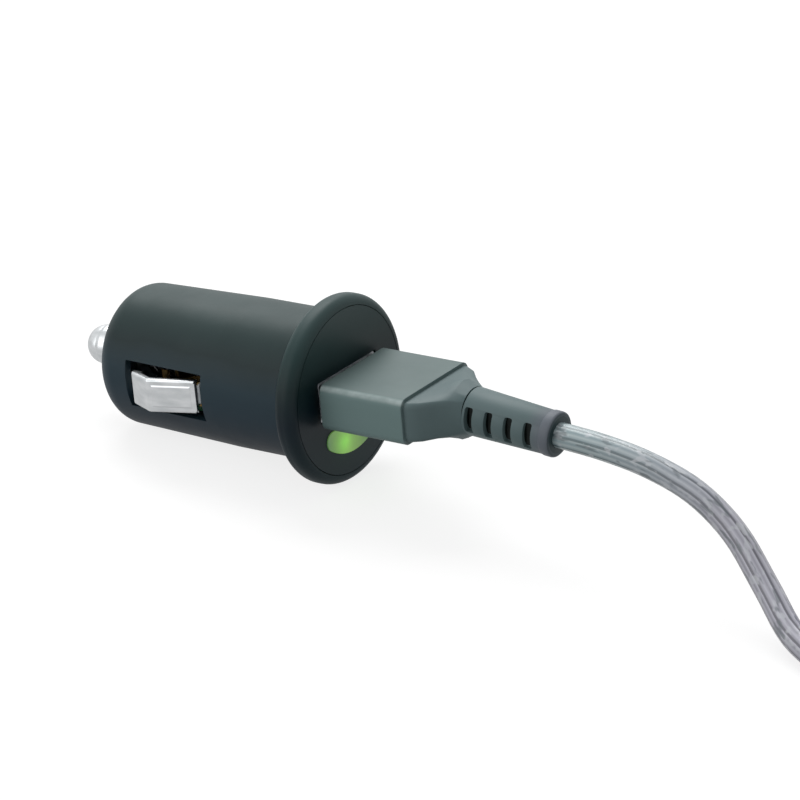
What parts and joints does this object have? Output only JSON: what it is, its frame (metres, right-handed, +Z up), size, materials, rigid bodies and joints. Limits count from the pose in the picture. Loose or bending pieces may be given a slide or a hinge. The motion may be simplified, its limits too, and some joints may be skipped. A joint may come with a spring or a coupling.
{
  "type": "car usb charger plug",
  "caption": "Short round car socket charger with a USB port in its face, a lit window, sprung contacts and a cable plug pushed in.",
  "frame": {"origin": "on the surface that the charger lies on, below the middle of the charger and its cable plug without the free cord", "axes": "+X towards the cord end, with the barrel's axis 5.7 degrees up from it; +Y to the right ground contact; +Z up"},
  "size_m": [0.1968, 0.0334, 0.0261],
  "materials": {
    "barrel_plastic": "fine matt moulded plastic, dark grey-green",
    "face_plastic": "smooth dark plastic",
    "lit_window": "green translucent lens, lit from behind",
    "nickel": "satin nickel plate",
    "spring_steel": "drawn spring wire",
    "brass": "stamped spring brass",
    "board": "green solder resist",
    "port_metal": "nickel-plated steel sheet",
    "white_plastic": "white moulded plastic",
    "gold_contact": "gold flash",
    "ferrite": "pressed ferrite",
    "capacitor_can": "drawn can",
    "chip_black": "black moulded body",
    "chip_white": "ceramic chip body",
    "grip_plastic": "soft matt moulding, grey-green",
    "cord_jacket": "smooth extruded jacket, pale grey",
    "tie_plastic": "flat black strap"
  },
  "bodies": {
    "charger": {"barrel_housing": "barrel_plastic", "face_plate": "face_plastic", "light_pipe": "lit_window", "contact_spring": "spring_steel", "spring_cup": "brass", "ground_spring_left": "brass", "ground_spring_right": "brass", "circuit_board": "board", "port_shell": "port_metal", "port_tongue": "white_plastic", "port_contact_1": "gold_contact", "port_contact_2": "gold_contact", "port_contact_3": "gold_contact", "port_contact_4": "gold_contact", "power_inductor": "ferrite", "input_capacitor": "capacitor_can", "output_capacitor": "capacitor_can", "converter_chip": "chip_black", "catch_diode": "chip_black", "chip_fuse": "chip_white", "indicator_led": "chip_white"},
    "centre_contact": {"centre_contact": "nickel"},
    "ground_contact_left": {"ground_contact_left": "nickel"},
    "ground_contact_right": {"ground_contact_right": "nickel"},
    "cable_plug": {"plug_shell": "port_metal", "plug_insulator": "white_plastic", "plug_contact_1": "gold_contact", "plug_contact_2": "gold_contact", "plug_contact_3": "gold_contact", "plug_contact_4": "gold_contact", "plug_inner_mould": "white_plastic", "plug_grip": "grip_plastic", "cord": "cord_jacket", "cord_coil": "cord_jacket", "cord_tail": "cord_jacket", "cord_tie": "tie_plastic", "device_plug_shell": "port_metal", "device_plug_insulator": "chip_black", "device_plug_grip": "grip_plastic"}
  },
  "joints": [
    {"name": "centre_contact_press", "type": "slide", "parent": "charger", "child": "centre_contact", "axis": [0.995, 0, 0.1001], "range_m": [0, 0.0025], "stiffness_N_per_m": 1500, "springref_m": -0.001, "deforming": ["contact_spring"]},
    {"name": "ground_contact_left_press", "type": "slide", "parent": "charger", "child": "ground_contact_left", "axis": [0, 1, 0], "range_m": [0, 0.0012], "stiffness_N_per_m": 2500, "springref_m": -0.0004, "deforming": ["ground_spring_left"]},
    {"name": "ground_contact_right_press", "type": "slide", "parent": "charger", "child": "ground_contact_right", "axis": [0, -1, 0], "range_m": [0, 0.0012], "stiffness_N_per_m": 2500, "springref_m": -0.0004, "deforming": ["ground_spring_right"]},
    {"name": "cable_plug_pull", "type": "slide", "parent": "charger", "child": "cable_plug", "axis": [0.995, 0, 0.1001], "range_m": [0, 0.013]}
  ]
}
